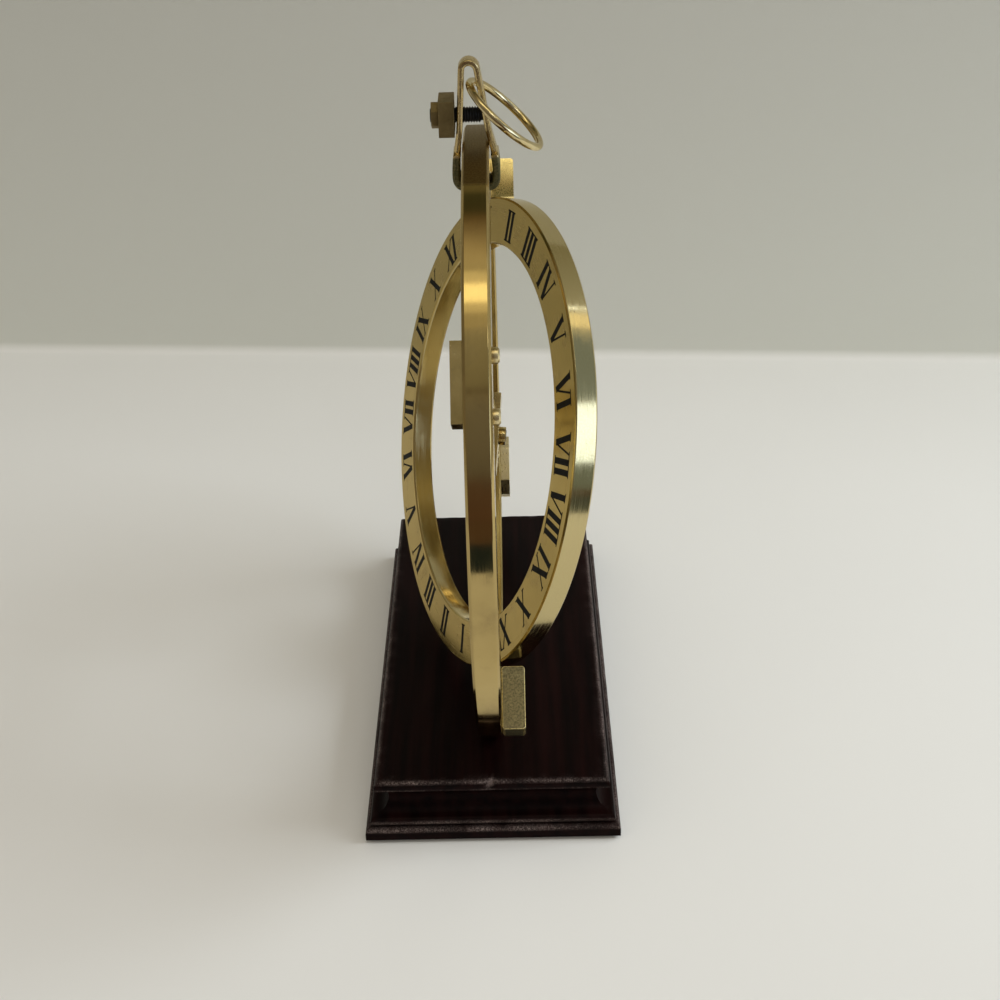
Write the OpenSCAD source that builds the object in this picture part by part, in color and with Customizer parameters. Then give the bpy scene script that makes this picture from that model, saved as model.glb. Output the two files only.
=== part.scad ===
// Universal ring dial on a moulded wooden base, all sizes in millimetres.
// Frame: origin at the middle of the underside, X across, Y front to back, Z up.

/* [Base] */
// Width of the top face
base_top_width = 47; // [36:0.5:70]
// Length of the top face
base_top_length = 99; // [80:0.5:140]
// Height of the plinth
plinth_height = 2.8; // [2.2:0.1:4]
// Height of the bead
bead_height = 1.95; // [1.2:0.05:2.4]
// Height of the cove
cove_height = 6.25; // [5:0.05:9]
// Height of the slab at the top
slab_height = 2.4; // [1.8:0.1:4]
// Overhang of the plinth past the top face on each side
plinth_out = 2.2; // [1.8:0.1:4]
// Overhang of the bead past the top face
bead_out = 1.25; // [0.8:0.05:1.6]
// Depth of the cove under the top face
cove_depth = 2.6; // [1:0.1:4]
// Radius of the round on the plinth's upper edge
plinth_round = 0.9; // [0.3:0.1:1.4]
// Radius of the round on the top edge
slab_round = 1.2; // [0.4:0.1:1.6]
// Thickness of the felt
felt_thick = 0.6; // [0.4:0.1:1.5]
// Inset of the felt from the plinth edge
felt_inset = 2; // [0.5:0.25:4]
// Diameter of the two ring fixing screws
fix_screw_dia = 3; // [2:0.1:3.4]
// Distance of a fixing screw from the middle
fix_screw_y = 14; // [10:0.5:18]
// Depth that a fixing screw reaches into the ring
fix_screw_grip = 5.7; // [4:0.1:8]

/* [Meridian ring] */
// Outer radius of the meridian ring
mer_r = 62.5; // [56:0.5:70]
// Radial width of the meridian ring
mer_width = 12.5; // [11.5:0.5:13.5]
// Thickness of the meridian ring
mer_thick = 5; // [4.6:0.1:6]
// Chamfer on the outer edges
mer_cham = 0.9; // [0.2:0.05:1]
// Ease on the inner edges
mer_ease = 0.3; // [0.1:0.05:0.6]
// Depth of the ring's seat in the base
seat_depth = 11.2; // [9:0.1:12]
// Distance from the inner edge to the middle of the clasp's groove
groove_in = 4.4; // [4:0.1:5]
// Width of the groove
groove_width = 2; // [1.6:0.1:2.6]
// Depth of the groove
groove_depth = 0.7; // [0.6:0.05:1]

/* [Hour ring] */
// Lean of the hour ring's pivot line from the vertical
lean = 37.4; // [34:0.1:40]
// Opening of the hour ring from the meridian plane
opening = 23.2; // [8:0.1:89]
// Gap between the hour ring and the meridian ring
hour_gap = 1.6; // [1.2:0.1:3]
// Radial width of the hour ring
hour_width = 9.3; // [7:0.1:11]
// Thickness of the hour ring
hour_thick = 4.5; // [3.6:0.1:5]
// Bevel on the edges of the hour ring
hour_bevel = 0.35; // [0.1:0.05:0.6]
// Diameter of the pivot screws
pivot_dia = 2; // [1.6:0.1:2.2]
// Diameter of a pivot screw's head
pivot_head = 2.9; // [2.6:0.1:3]
// Depth of the recess for the head
pivot_sink = 1.5; // [1:0.1:2]
// Depth that a pivot screw reaches into the hour ring
pivot_grip = 4.2; // [3:0.1:5]

/* [Stop blocks] */
// Angle from the pivot line to a block
stop_from = 8; // [7:0.5:10]
// Angle that a block covers
stop_span = 8; // [7:0.5:10]
// Thickness of a block
stop_thick = 4.5; // [3:0.1:6]
// Ease on the edges of a block
stop_ease = 0.4; // [0.2:0.05:0.8]
// Gap between the heel and the opened hour ring
heel_gap = 0.12; // [0.08:0.01:0.2]
// Depth that the heel reaches over the hour ring
heel_over = 1.8; // [1.2:0.1:2.5]
// Depth that the heel laps the meridian ring
heel_lap = 1.3; // [1:0.1:2]
// Diameter of a block's screw
stop_screw_dia = 3; // [2.4:0.1:3.2]
// Diameter of that screw's head
stop_head = 5; // [4:0.1:5.6]
// Depth of the recess for that head
stop_sink = 1.3; // [1:0.1:1.8]
// Depth of that screw in the ring
stop_grip = 3.5; // [2.5:0.1:4]

/* [Bridge] */
// Turn of the bridge about the polar axis
bridge_turn = -5; // [-30:1:60]
// Width of the bridge bar
bridge_width = 13; // [10:0.5:15]
// Thickness of the bridge bar
bridge_thick = 2.4; // [1.6:0.1:3]
// Half length of the bridge bar
bridge_half = 31; // [29:0.5:33]
// Width of the slot in the bridge
bridge_slot = 3.2; // [3:0.1:4]
// Half length of the slot
bridge_slot_half = 21.5; // [20.5:0.5:24]
// Diameter of the stems between the bar and the pivots
stem_dia = 4; // [3.2:0.1:4.4]
// Diameter of the collar at the foot of a stem
collar_dia = 5.2; // [4.6:0.1:6]
// Diameter of the bridge pivot pins
pin_dia = 2.4; // [1.8:0.1:2.8]
// Depth of a pivot pin in the ring
pin_deep = 5; // [4:0.1:6]
// Half angle of a keeper plate
keeper_half = 7.3; // [7:0.1:8.4]
// Thickness of a keeper plate
keeper_thick = 2.1; // [1.6:0.1:3]
// Margin of a keeper plate from the ring's inner edge
keeper_in = 1.4; // [0.6:0.1:2]
// Margin of a keeper plate from the ring's rim
keeper_out = 1.9; // [1:0.1:3]
// Cut across the two inner corners of a keeper plate
keeper_cut = 3.2; // [1:0.1:3.4]
// Distance of a bolt from the end of its plate
bolt_edge = 1.8; // [1.7:0.1:2.4]
// Diameter of a keeper bolt
bolt_dia = 2; // [1.6:0.1:2.2]
// Diameter of a bolt's head
bolt_head = 2.8; // [2.4:0.1:3]
// Height of a bolt's round nut
bolt_nut = 1.3; // [0.9:0.1:2]

/* [Cursor] */
// Half length of the cursor along the bridge
cursor_half = 4; // [3.75:0.25:5]
// Thickness of a cursor plate
cursor_thick = 1.3; // [0.8:0.1:2]
// Thickness of the cheeks beside the bridge
cheek_thick = 1.4; // [0.8:0.1:2]
// Diameter of the sun hole
sun_hole = 1.2; // [0.6:0.1:1.6]
// Distance of the sun hole from the cursor's middle
sun_up = 2.3; // [2:0.1:2.5]
// Diameter of the cursor screw
cursor_screw_dia = 2.4; // [2:0.1:2.6]
// Distance of the cursor screw from the cursor's middle
screw_down = 1.6; // [1.4:0.1:1.8]
// Diameter of the cursor screw's head and nut
cursor_head = 3.8; // [3.6:0.1:4.8]
// Height of the cursor screw's head
cursor_head_up = 1.2; // [0.9:0.1:2.2]
// Height of the cursor's nut
cursor_nut_up = 1.4; // [1:0.1:2]

/* [Clasp] */
// Angle of the clasp from the top of the ring
clasp_at = 0; // [-30:1:40]
// Width of the clasp strip
clasp_width = 3.5; // [3.3:0.1:5]
// Thickness of the clasp strip
clasp_strip = 1.15; // [0.9:0.05:1.2]
// Half width of the space between the legs at the clamp screw
neck_half = 1.8; // [1.7:0.05:2]
// Outer radius of the arch at the top
arch_r = 2; // [1.95:0.05:2.2]
// Lean of the arch to the left
clasp_lean = 0.8; // [0:0.1:1]
// Width of the clasp feet
foot_width = 6; // [4.5:0.1:8]
// Stand-off of a foot's outer side from the ring
foot_out = 2; // [1.6:0.1:2.6]
// Height at which the clamp screw crosses over the rim
clamp_up = 4.9; // [4:0.1:5.2]
// Diameter of the clamp screw
clamp_dia = 3; // [2.6:0.1:3.2]
// Diameter of the clamp screw's riveted end
rivet_dia = 2.2; // [1.6:0.1:2.4]
// Side of the square clamp nut
nut_side = 6.6; // [5:0.1:7.4]
// Thickness of the clamp nut
nut_thick = 2.9; // [2:0.1:4]
// Thickness of the lock nut
lock_thick = 1.4; // [1.2:0.1:3]
// Width of the lock nut across its corners
lock_dia = 5; // [4.6:0.1:6]
// Length of the clamp screw past the lock nut
screw_past = 0.2; // [0.1:0.1:2]
// Height at which the suspension ring hangs over the clamp screw
hang_up = 5.6; // [5:0.1:6]
// Middle radius of the suspension ring
loop_r = 8.5; // [8:0.1:11]
// Diameter of the suspension ring's wire
loop_wire = 1.5; // [1:0.1:1.7]
// Angle of the suspension ring below the level
loop_drop = 42; // [10:1:66]

/* [Fits] */
// Radial clearance of running pivots
run_gap = 0.05; // [0.02:0.01:0.1]
// Radial clearance of screws and seats
fit_gap = 0.05; // [0.02:0.01:0.1]
// Gap between other moving pieces
slide_gap = 0.3; // [0.2:0.05:0.5]

/* [Hidden] */
mer_in = mer_r - mer_width;
half_mer = mer_thick / 2;
half_hour = hour_thick / 2;
half_bar = bridge_thick / 2;
hour_r = mer_in - hour_gap;
hour_in = hour_r - hour_width;
upper_at = -lean;
lower_at = 180 - lean;
front_pole = 90 - lean;
rear_pole = 270 - lean;
bead_z = felt_thick + plinth_height;
cove_z = bead_z + bead_height;
slab_z = cove_z + cove_height;
base_height = slab_z + slab_height;
ring_z = base_height - seat_depth + mer_r;
groove_r = mer_in + groove_in;
fix_head = fix_screw_dia + 2.5;
fix_sink = 1.2;
fix_top = ring_z - sqrt(mer_r * mer_r - fix_screw_y * fix_screw_y) + fix_screw_grip;
stop_mid = (mer_in + mer_r) / 2 + 1;
stop_turn = stop_from + stop_span / 2;
stop_x = half_mer + stop_thick;
keeper_mid = (mer_in + keeper_in + mer_r - keeper_out) / 2;
keeper_wide = mer_r - keeper_out - mer_in - keeper_in;
keeper_x = half_mer + keeper_thick;
bolt_y = keeper_mid * sin(keeper_half) - bolt_edge;
head_sink = 1;
plate_at = half_bar + slide_gap;
plate_out = plate_at + cursor_thick;
cheek_y = bridge_width / 2 + slide_gap;
leg_out = neck_half + clasp_strip;
clamp_r = mer_r + clamp_up;
hang_r = clamp_r + hang_up;
arch_z = hang_r + arch_r + 0.8;
bend_z = mer_r + 0.1;
foot_z = mer_r - 2.2;
foot_in = half_mer + slide_gap + 0.25;
clamp_x = lean_at(clamp_r);
leg_slope = (leg_out - arch_r) / (arch_z - clamp_r) - clasp_lean / (arch_z - foot_z);
nut_x = leg_out + slide_gap / 2 + nut_side * 0.71 * max(0, leg_slope);
lock_x = nut_x + nut_thick;
right_slope = leg_slope + 2 * clasp_lean / (arch_z - foot_z);
screw_end = neck_half - clamp_dia / 2 * right_slope - 2 * fit_gap;
screw_x = lock_x + lock_thick + screw_past;
loop_x = lean_at(hang_r) - leg_at(hang_r) + clasp_strip + loop_wire / 2 + slide_gap;

// Put children on the ring at an angle from the top, local Z outward
module on_ring(a) {
    translate([0, 0, ring_z]) rotate([a, 0, 0]) children();
}

// Turn a profile of radius and X about the ring's axis
module spin(fn) {
    rotate([0, 90, 0]) rotate_extrude($fn = fn) children();
}

// Turn a profile between two angles from the top of the ring
module spin_part(a, span) {
    translate([0, 0, ring_z]) rotate([0, 90, 0]) rotate([0, 0, a + 180])
        rotate_extrude(angle = span, $fn = 120) children();
}

// A round bar along X between two places
module bar_x(x0, x1, d, fn = 32) {
    translate([x0, 0, 0]) rotate([0, 90, 0]) cylinder(h = x1 - x0, d = d, $fn = fn);
}

// A slot for a screwdriver, across X at a place
module driver_slot(x, long) {
    translate([x, -0.3, -long / 2]) cube([3, 0.6, long]);
}

// Points of an arc
function arc(x, z, r, a0, a1, n) =
    [for (i = [0:n]) [x + r * cos(a0 + (a1 - a0) * i / n), z + r * sin(a0 + (a1 - a0) * i / n)]];

// Points of the cove, half an ellipse
function cove(half, n) =
    [for (i = [0:n]) [half - cove_depth * sin(180 * i / n), cove_z + cove_height * (1 - cos(180 * i / n)) / 2]];

// Moulded side profile of the base for a half width
module moulding(half) {
    bead = bead_height / 2;
    right = concat(
        [[half + plinth_out, felt_thick]],
        arc(half + plinth_out - plinth_round, bead_z - plinth_round, plinth_round, 0, 90, 5),
        arc(half + bead_out - bead, bead_z + bead, bead, -90, 90, 8),
        cove(half, 12),
        arc(half - slab_round, base_height - slab_round, slab_round, 0, 90, 6));
    n = len(right);
    polygon(concat(right, [for (i = [1:n]) [-right[n - i][0], right[n - i][1]]]));
}

// Moulded wooden base with the slot for the ring
module base_block() {
    long = base_top_length + 2 * plinth_out + 2;
    wide = base_top_width + 2 * plinth_out + 2;
    color([0.09, 0.05, 0.04]) difference() {
        intersection() {
            translate([0, long / 2, 0]) rotate([90, 0, 0]) linear_extrude(long) moulding(base_top_width / 2);
            translate([-wide / 2, 0, 0]) rotate([90, 0, 90]) linear_extrude(wide) moulding(base_top_length / 2);
        }
        translate([0, 0, ring_z]) bar_x(-half_mer - fit_gap, half_mer + fit_gap, 2 * (mer_r + fit_gap), 180);
        for (s = [-1, 1]) translate([0, s * fix_screw_y, 0]) {
            cylinder(h = fix_top, d = fix_screw_dia + 2 * fit_gap, $fn = 32);
            cylinder(h = felt_thick + fix_sink, d = fix_head + 4 * fit_gap, $fn = 32);
        }
    }
}

// Felt under the plinth
module base_felt() {
    w = base_top_width + 2 * (plinth_out - felt_inset);
    l = base_top_length + 2 * (plinth_out - felt_inset);
    color([0.05, 0.10, 0.06]) translate([-w / 2, -l / 2, 0]) cube([w, l, felt_thick]);
}

// Screw from the underside into the ring
module fix_screw(s) {
    color([0.6, 0.6, 0.58]) translate([0, s * fix_screw_y, felt_thick]) {
        cylinder(h = fix_sink, d = fix_head, $fn = 32);
        cylinder(h = fix_top - felt_thick - 0.4, d = fix_screw_dia, $fn = 32);
    }
}
module fix_screw_front() { fix_screw(-1); }
module fix_screw_rear() { fix_screw(1); }

// Radial bearing, its side slot and the bolt holes for one pole of the bridge
module pole_cut(side) {
    d = pin_dia + 2 * run_gap;
    deep = pin_deep + slide_gap + 1;
    translate([0, 0, mer_in - 1]) cylinder(h = deep, d = d, $fn = 40);
    translate([side < 0 ? -half_mer - 1 : 0, -d / 2, mer_in - 1]) cube([half_mer + 1, d, deep]);
    for (b = [-1, 1]) translate([0, b * bolt_y, keeper_mid])
        bar_x(-half_mer - 1, half_mer + 1, bolt_dia + 2 * fit_gap);
}

// Half of the meridian ring's section, from the inner edge to the rim
function mer_half(s) = [
    [mer_in, s * (half_mer - mer_ease)],
    [mer_in + mer_ease, s * half_mer],
    [groove_r - groove_width / 2, s * half_mer],
    [groove_r - groove_width / 2, s * (half_mer - groove_depth)],
    [groove_r + groove_width / 2, s * (half_mer - groove_depth)],
    [groove_r + groove_width / 2, s * half_mer],
    [mer_r - mer_cham, s * half_mer],
    [mer_r, s * (half_mer - mer_cham)]];

// Upright ring that stands for the meridian
module meridian_ring() {
    upper = mer_half(1);
    color([0.72, 0.58, 0.30]) difference() {
        translate([0, 0, ring_z]) spin(180)
            polygon(concat(mer_half(-1), [for (i = [1:len(upper)]) upper[len(upper) - i]]));
        for (a = [upper_at, lower_at]) on_ring(a) {
            translate([0, 0, mer_in - 1]) cylinder(h = mer_r - mer_in, d = pivot_dia + 2 * fit_gap, $fn = 40);
            translate([0, 0, mer_r - pivot_sink]) cylinder(h = 3, d = pivot_head + 4 * fit_gap, $fn = 40);
        }
        on_ring(front_pole) pole_cut(-1);
        on_ring(rear_pole) pole_cut(1);
        for (a = [upper_at, lower_at]) on_ring(a - stop_turn) translate([0, 0, stop_mid])
            bar_x(half_mer - stop_grip - 0.2, half_mer + 1, stop_screw_dia + 2 * fit_gap);
        for (s = [-1, 1]) translate([0, s * fix_screw_y, 0])
            cylinder(h = fix_top, d = fix_screw_dia + 2 * fit_gap, $fn = 32);
    }
}

// Ring with the hours on its face, set at its opening
module hour_ring() {
    h = half_hour;
    b = hour_bevel;
    color([0.66, 0.54, 0.30]) on_ring(upper_at) rotate([0, 0, opening]) difference() {
        spin(180) polygon([
            [hour_in, b - h], [hour_in + b, -h], [hour_r - b, -h], [hour_r, b - h],
            [hour_r, h - b], [hour_r - b, h], [hour_in + b, h], [hour_in, h - b]]);
        for (s = [0, 180]) rotate([s, 0, 0]) translate([0, 0, hour_r - pivot_grip - slide_gap])
            cylinder(h = pivot_grip + 2, d = pivot_dia + 2 * run_gap, $fn = 40);
    }
}

// Shouldered screw on which the hour ring turns
module hour_pivot() {
    low = hour_r - pivot_grip;
    color([0.62, 0.50, 0.26]) difference() {
        union() {
            translate([0, 0, low]) cylinder(h = mer_r - pivot_sink - low, d = pivot_dia, $fn = 40);
            translate([0, 0, mer_r - pivot_sink]) cylinder(h = pivot_sink - 0.15, d = pivot_head, $fn = 40);
            translate([0, 0, mer_in - hour_gap / 2])
                cylinder(h = hour_gap / 2 - 2 * fit_gap, d = pivot_dia + 1.6, $fn = 40);
        }
        translate([-3, -0.3, mer_r - pivot_sink / 2]) cube([6, 0.6, 2]);
    }
}
module hour_pivot_upper() { on_ring(upper_at) hour_pivot(); }
module hour_pivot_lower() { on_ring(lower_at) hour_pivot(); }

// Section of a stop block with its eased edges
module stop_section() {
    e = stop_ease;
    polygon([
        [mer_in + e, half_mer], [mer_r - e, half_mer], [mer_r, half_mer + e], [mer_r, stop_x - e],
        [mer_r - e, stop_x], [mer_in + e, stop_x], [mer_in, stop_x - e], [mer_in, half_mer + e]]);
}

// Bore and head recess of a stop block
module stop_bore(a) {
    on_ring(a) translate([0, 0, stop_mid]) {
        bar_x(half_mer - 1, stop_x + 1, stop_screw_dia + 4 * fit_gap);
        bar_x(stop_x - stop_sink, stop_x + 1, stop_head + 4 * fit_gap);
    }
}

// Upper block, with the heel that stops the hour ring square to the meridian
module stop_block_upper() {
    heel = half_hour + heel_gap;
    color([0.74, 0.62, 0.36]) difference() {
        union() {
            spin_part(upper_at - stop_from - stop_span, stop_span) stop_section();
            on_ring(upper_at) translate([half_mer + slide_gap, heel, hour_r - heel_over])
                cube([stop_thick - slide_gap, mer_in * sin(stop_turn) - heel, heel_over + hour_gap + heel_lap]);
        }
        stop_bore(upper_at - stop_turn);
    }
}

// Lower block on the same face of the ring
module stop_block_lower() {
    color([0.74, 0.62, 0.36]) difference() {
        spin_part(lower_at - stop_from - stop_span, stop_span) stop_section();
        stop_bore(lower_at - stop_turn);
    }
}

// Cheese-headed screw that holds a stop block
module stop_screw(a) {
    color([0.62, 0.50, 0.26]) on_ring(a - stop_turn) translate([0, 0, stop_mid]) difference() {
        union() {
            bar_x(half_mer - stop_grip, stop_x - stop_sink + 0.1, stop_screw_dia);
            bar_x(stop_x - stop_sink, stop_x - 0.1, stop_head);
        }
        driver_slot(stop_x - stop_sink / 2, stop_head + 2);
    }
}
module stop_screw_upper() { stop_screw(upper_at); }
module stop_screw_lower() { stop_screw(lower_at); }

// Outline of a keeper plate, with its inner corners cut
module keeper_outline() {
    half = keeper_mid * sin(keeper_half);
    low = mer_in + keeper_in;
    high = mer_r - keeper_out;
    polygon([
        [-half, low + keeper_cut], [keeper_cut - half, low], [half - keeper_cut, low],
        [half, low + keeper_cut], [half, high], [-half, high]]);
}

// Plate that shuts a bridge bearing, with its tongue in the slot
module keeper(pole, side) {
    tongue = half_mer - pin_dia / 2 - run_gap;
    color([0.66, 0.54, 0.30]) on_ring(pole) mirror([side < 0 ? 0 : 1, 0, 0]) difference() {
        union() {
            translate([-keeper_x, 0, 0]) rotate([90, 0, 90]) linear_extrude(keeper_thick) keeper_outline();
            translate([-half_mer - 0.1, -pin_dia / 2, mer_in + keeper_in])
                cube([tongue + 0.1, pin_dia, pin_deep - keeper_in]);
        }
        for (b = [-1, 1]) translate([0, b * bolt_y, keeper_mid]) {
            bar_x(-keeper_x - 1, 0, bolt_dia + 2 * fit_gap);
            bar_x(-keeper_x - 1, -keeper_x + head_sink, bolt_head + 4 * fit_gap);
        }
    }
}
module keeper_front() { keeper(front_pole, -1); }
module keeper_rear() { keeper(rear_pole, 1); }

// Through bolt of a keeper, with its round nut on the other face
module keeper_bolt(pole, side, b) {
    color([0.70, 0.58, 0.32]) on_ring(pole) translate([0, b * bolt_y, keeper_mid])
        mirror([side < 0 ? 0 : 1, 0, 0]) {
            bar_x(0.1 - keeper_x, head_sink - keeper_x, bolt_head);
            bar_x(head_sink - keeper_x - 0.1, half_mer + bolt_nut / 2, bolt_dia);
            bar_x(half_mer, half_mer + bolt_nut - 0.3, bolt_head + 0.1);
            translate([half_mer + bolt_nut - 0.31, 0, 0]) rotate([0, 90, 0])
                cylinder(h = 0.31, d1 = bolt_head + 0.1, d2 = bolt_head - 0.6, $fn = 32);
        }
}
module keeper_bolt_front_upper() { keeper_bolt(front_pole, -1, 1); }
module keeper_bolt_front_lower() { keeper_bolt(front_pole, -1, -1); }
module keeper_bolt_rear_upper() { keeper_bolt(rear_pole, 1, -1); }
module keeper_bolt_rear_lower() { keeper_bolt(rear_pole, 1, 1); }

// Frame of the bridge: Z along the polar axis, X through the bar
module on_bridge() {
    on_ring(front_pole) rotate([0, 0, bridge_turn]) children();
}

// Slotted bar on two pins along the polar axis
module bridge() {
    r = bridge_width / 2;
    flat = bridge_half - r;
    color([0.66, 0.54, 0.30]) on_bridge() {
        difference() {
            union() {
                translate([-half_bar, -r, -flat]) cube([bridge_thick, bridge_width, 2 * flat]);
                for (s = [-1, 1]) translate([0, 0, s * flat]) bar_x(-half_bar, half_bar, bridge_width, 72);
            }
            translate([-half_bar - 1, -bridge_slot / 2, -bridge_slot_half])
                cube([bridge_thick + 2, bridge_slot, 2 * bridge_slot_half]);
        }
        for (s = [0, 180]) rotate([s, 0, 0]) {
            translate([0, 0, bridge_half - 3])
                cylinder(h = mer_in - slide_gap - bridge_half + 3, d = stem_dia, $fn = 48);
            translate([0, 0, bridge_half - 3.6]) cylinder(h = 1.6, d = collar_dia, $fn = 48);
            translate([0, 0, mer_in - 1]) cylinder(h = pin_deep + 1, d = pin_dia, $fn = 40);
        }
    }
}

// Holes through a cursor plate for the screw and the sun
module cursor_holes(x0, x1, sun) {
    translate([0, 0, -screw_down]) bar_x(x0, x1, cursor_screw_dia + 2 * fit_gap);
    translate([0, 0, sun_up]) bar_x(x0, x1, sun);
}

// Front half of the cursor with its side cheeks and sun hole
module cursor_plate() {
    wide = 2 * (cheek_y + cheek_thick);
    color([0.72, 0.60, 0.34]) on_bridge() difference() {
        union() {
            translate([plate_at, -wide / 2, -cursor_half]) cube([cursor_thick, wide, 2 * cursor_half]);
            for (s = [0, 1]) mirror([0, s, 0]) translate([-plate_at, cheek_y, -cursor_half])
                cube([2 * plate_at + cursor_thick / 2, cheek_thick, 2 * cursor_half]);
        }
        cursor_holes(0, plate_out + 1, sun_hole);
    }
}

// Back half of the cursor
module cursor_back() {
    wide = 2 * (cheek_y + cheek_thick);
    color([0.72, 0.60, 0.34]) on_bridge() difference() {
        translate([-plate_out, -wide / 2, -cursor_half]) cube([cursor_thick, wide, 2 * cursor_half]);
        cursor_holes(-plate_out - 1, 0, sun_hole + 0.8);
    }
}

// Black screw that holds the cursor together through the slot
module cursor_screw() {
    color([0.04, 0.04, 0.04]) on_bridge() translate([0, 0, -screw_down]) difference() {
        union() {
            bar_x(-plate_out - cursor_head_up * 0.6, -plate_out, cursor_head);
            bar_x(-plate_out - cursor_head_up, -plate_out - cursor_head_up / 2, cursor_head - 1);
            bar_x(-plate_out - 0.1, plate_out + cursor_nut_up + 0.1, cursor_screw_dia);
        }
        mirror([1, 0, 0]) driver_slot(plate_out + cursor_head_up * 0.6, cursor_head + 2);
    }
}

// Round nut of the cursor
module cursor_nut() {
    color([0.66, 0.54, 0.30]) on_bridge() translate([0, 0, -screw_down]) difference() {
        bar_x(plate_out, plate_out + cursor_nut_up, cursor_head, 24);
        bar_x(0, plate_out + 3, cursor_screw_dia + 2 * fit_gap);
    }
}

// Half width of the legs at a height
function leg_at(z) = leg_out + (arch_r - leg_out) * (z - clamp_r) / (arch_z - clamp_r);

// Place of the clasp's middle line at a height
function lean_at(z) = -clasp_lean * max(0, z - foot_z) / (arch_z - foot_z);

// Half outline of the bent strip from the foot to the arch
leg = [
    [half_mer + 1.6, foot_z - 1.3],
    [half_mer + 1.6, foot_z + 1.1],
    [leg_at(bend_z), bend_z],
    [arch_r, arch_z]];

// Outline of both legs with the arch between them, at an inset
module hairpin(inset) {
    n = len(leg);
    polygon(concat(
        [for (p = leg) [lean_at(p[1]) + p[0] - inset, p[1]]],
        [for (i = [1:n]) [lean_at(leg[n - i][1]) - leg[n - i][0] + inset, leg[n - i][1]]]));
    translate([-clasp_lean, arch_z]) circle(r = arch_r - inset, $fn = 48);
}

// Section of the bent clasp strip above its feet
module clasp_section() {
    difference() {
        hairpin(0);
        hairpin(clasp_strip);
        translate([-foot_in, foot_z - 2]) square([2 * foot_in, 2]);
    }
}

// Section of the right foot, hooked into the groove
module foot_section() {
    low = groove_r - groove_width / 2 + slide_gap;
    high = groove_r + groove_width / 2 - slide_gap;
    tip = half_mer - groove_depth + slide_gap;
    far = half_mer + foot_out;
    polygon([
        [foot_in, foot_z], [far - 0.6, foot_z], [far - 0.15, foot_z - 1.8], [far, foot_z - 3.7],
        [far - 0.1, high], [far - 0.5, low + 0.3], [far - 1.1, low], [tip, low], [tip, high], [foot_in, high]]);
}

// Hairpin clasp that slides on the meridian ring
module clasp() {
    color([0.70, 0.58, 0.32]) on_ring(clasp_at) difference() {
        union() {
            translate([0, clasp_width / 2, 0]) rotate([90, 0, 0]) linear_extrude(clasp_width) clasp_section();
            for (s = [0, 1]) mirror([s, 0, 0]) translate([0, foot_width / 2, 0]) rotate([90, 0, 0])
                linear_extrude(foot_width) foot_section();
        }
        translate([clamp_x, 0, clamp_r]) {
            bar_x(-leg_out - 1, 0, clamp_dia + 2 * fit_gap);
            bar_x(0, leg_out + 1, rivet_dia + 2 * fit_gap);
        }
    }
}

// Black screw through both legs of the clasp
module clamp_screw() {
    color([0.03, 0.03, 0.03]) on_ring(clasp_at) translate([clamp_x, 0, clamp_r]) {
        bar_x(-screw_x, screw_end, clamp_dia);
        bar_x(screw_end - 0.1, leg_out, rivet_dia);
    }
}

// Square nut on the left of the clasp
module clamp_nut() {
    color([0.50, 0.42, 0.26]) on_ring(clasp_at) translate([clamp_x, 0, clamp_r]) difference() {
        translate([-lock_x, -nut_side / 2, -nut_side / 2]) cube([nut_thick, nut_side, nut_side]);
        bar_x(-lock_x - 1, 0, clamp_dia + 2 * run_gap);
    }
}

// Small nut that locks the square one
module clamp_locknut() {
    color([0.46, 0.39, 0.25]) on_ring(clasp_at) translate([clamp_x, 0, clamp_r]) difference() {
        bar_x(-lock_x - lock_thick, -lock_x, lock_dia, 6);
        bar_x(-screw_x, 0, clamp_dia + 2 * run_gap);
    }
}

// Wire ring in the eye of the clasp
module suspension_ring() {
    color([0.74, 0.62, 0.36]) on_ring(clasp_at) translate([loop_x, 0, hang_r])
        rotate([0, loop_drop, 0]) translate([loop_r, 0, 0])
            rotate_extrude($fn = 96) translate([loop_r, 0]) circle(d = loop_wire, $fn = 20);
}

base_block();
base_felt();
fix_screw_front();
fix_screw_rear();
meridian_ring();
hour_ring();
hour_pivot_upper();
hour_pivot_lower();
stop_block_upper();
stop_block_lower();
stop_screw_upper();
stop_screw_lower();
keeper_front();
keeper_rear();
keeper_bolt_front_upper();
keeper_bolt_front_lower();
keeper_bolt_rear_upper();
keeper_bolt_rear_lower();
bridge();
cursor_plate();
cursor_back();
cursor_screw();
cursor_nut();
clasp();
clamp_screw();
clamp_nut();
clamp_locknut();
suspension_ring();
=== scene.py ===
import itertools
import math
import random

import bmesh
import bpy
from mathutils import Matrix, Vector, noise


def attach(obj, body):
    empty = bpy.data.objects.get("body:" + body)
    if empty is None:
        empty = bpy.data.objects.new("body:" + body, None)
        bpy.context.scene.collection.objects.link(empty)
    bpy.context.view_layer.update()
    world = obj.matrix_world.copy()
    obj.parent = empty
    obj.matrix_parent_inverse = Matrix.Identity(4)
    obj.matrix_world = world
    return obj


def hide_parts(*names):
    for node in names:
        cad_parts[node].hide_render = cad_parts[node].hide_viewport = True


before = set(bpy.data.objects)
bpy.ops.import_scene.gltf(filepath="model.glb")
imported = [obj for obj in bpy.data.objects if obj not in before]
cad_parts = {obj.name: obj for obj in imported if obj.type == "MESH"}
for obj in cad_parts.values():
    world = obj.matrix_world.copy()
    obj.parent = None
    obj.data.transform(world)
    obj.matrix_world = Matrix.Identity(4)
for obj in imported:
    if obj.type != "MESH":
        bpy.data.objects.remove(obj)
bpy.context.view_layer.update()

# Sizes of the pieces are in millimetres, and mm turns them into Blender's metres. Angles are in degrees.
mm = 0.001
scene = bpy.context.scene
scene.view_settings.view_transform = "Standard"
print("frame loaded:", len(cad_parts), "nodes")

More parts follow.
